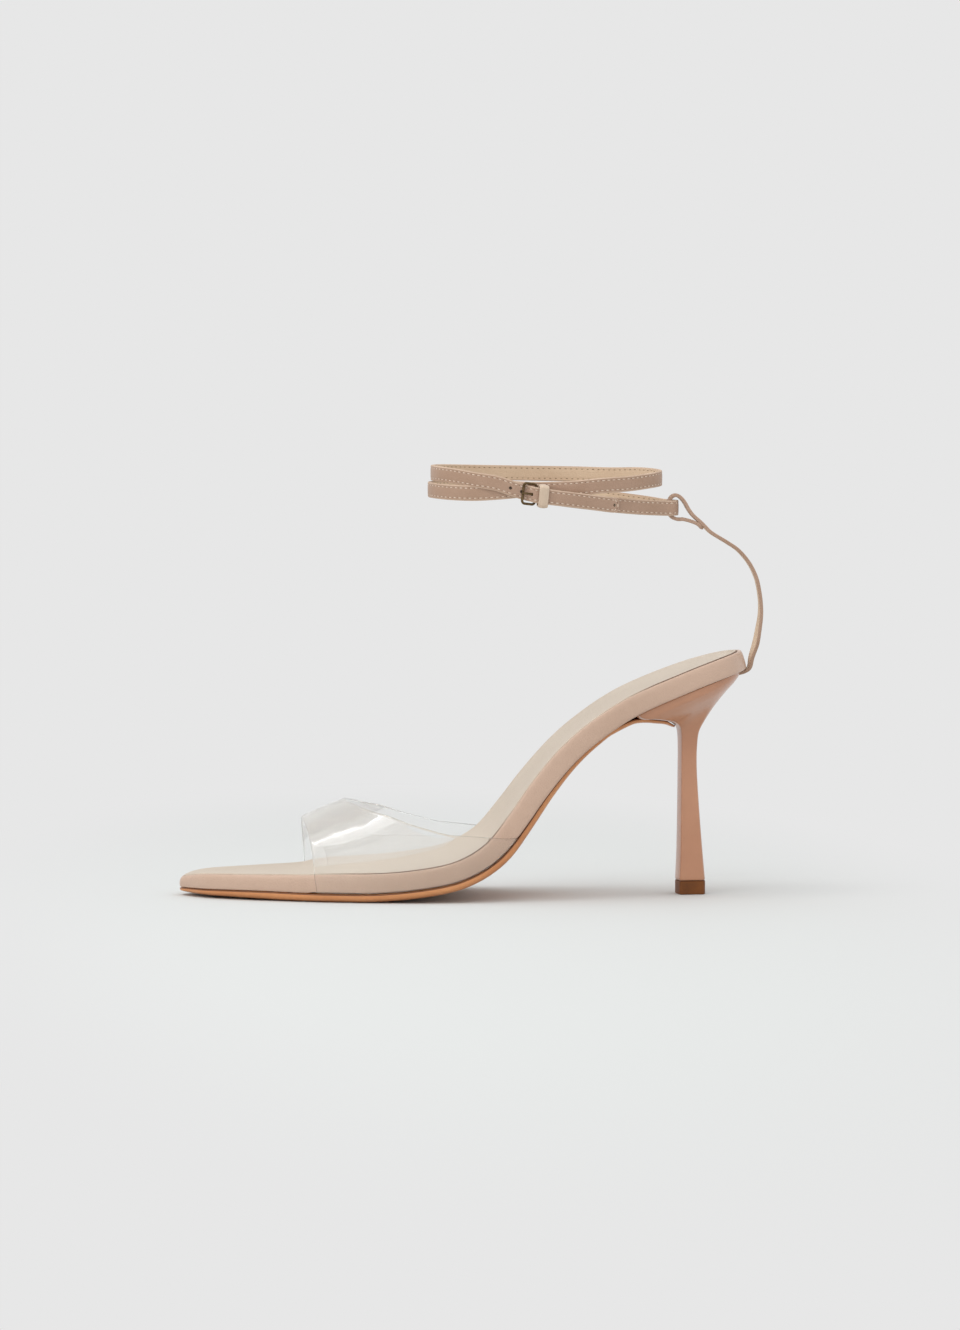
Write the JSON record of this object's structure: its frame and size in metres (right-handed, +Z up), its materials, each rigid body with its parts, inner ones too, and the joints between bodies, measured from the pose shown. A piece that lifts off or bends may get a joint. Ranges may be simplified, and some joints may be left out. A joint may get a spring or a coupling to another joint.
{
  "type": "strappy heeled sandal",
  "caption": "Left sandal with a pointed toe, a stem heel, a clear vamp and a thin strap that wraps the ankle twice and fastens with a small buckle.",
  "frame": {"origin": "middle of the shoe's box on the floor that it stands on", "axes": "+X towards the heel, so the toe points to -X; +Y towards the inner side of the foot, so the buckle's side is -Y; +Z up"},
  "size_m": [0.2308, 0.079, 0.1702],
  "materials": {
    "leather": "smooth, satin",
    "insole_leather": "soft matte",
    "sole_leather": "burnished, satin",
    "clear_vinyl": "clear, glossy",
    "heel_lacquer": "glossy lacquer",
    "heel_tip": "matte",
    "buckle_metal": "antique, polished"
  },
  "bodies": {
    "root": {"outsole": "sole_leather", "footbed": "leather", "insole": "insole_leather", "upper": "clear_vinyl", "heel": "heel_lacquer", "heel_tip": "heel_tip", "heel_strap": "leather", "ankle_strap": "leather", "strap_keeper": "leather", "buckle_frame": "buckle_metal", "buckle_prong": "buckle_metal"}
  },
  "joints": []
}
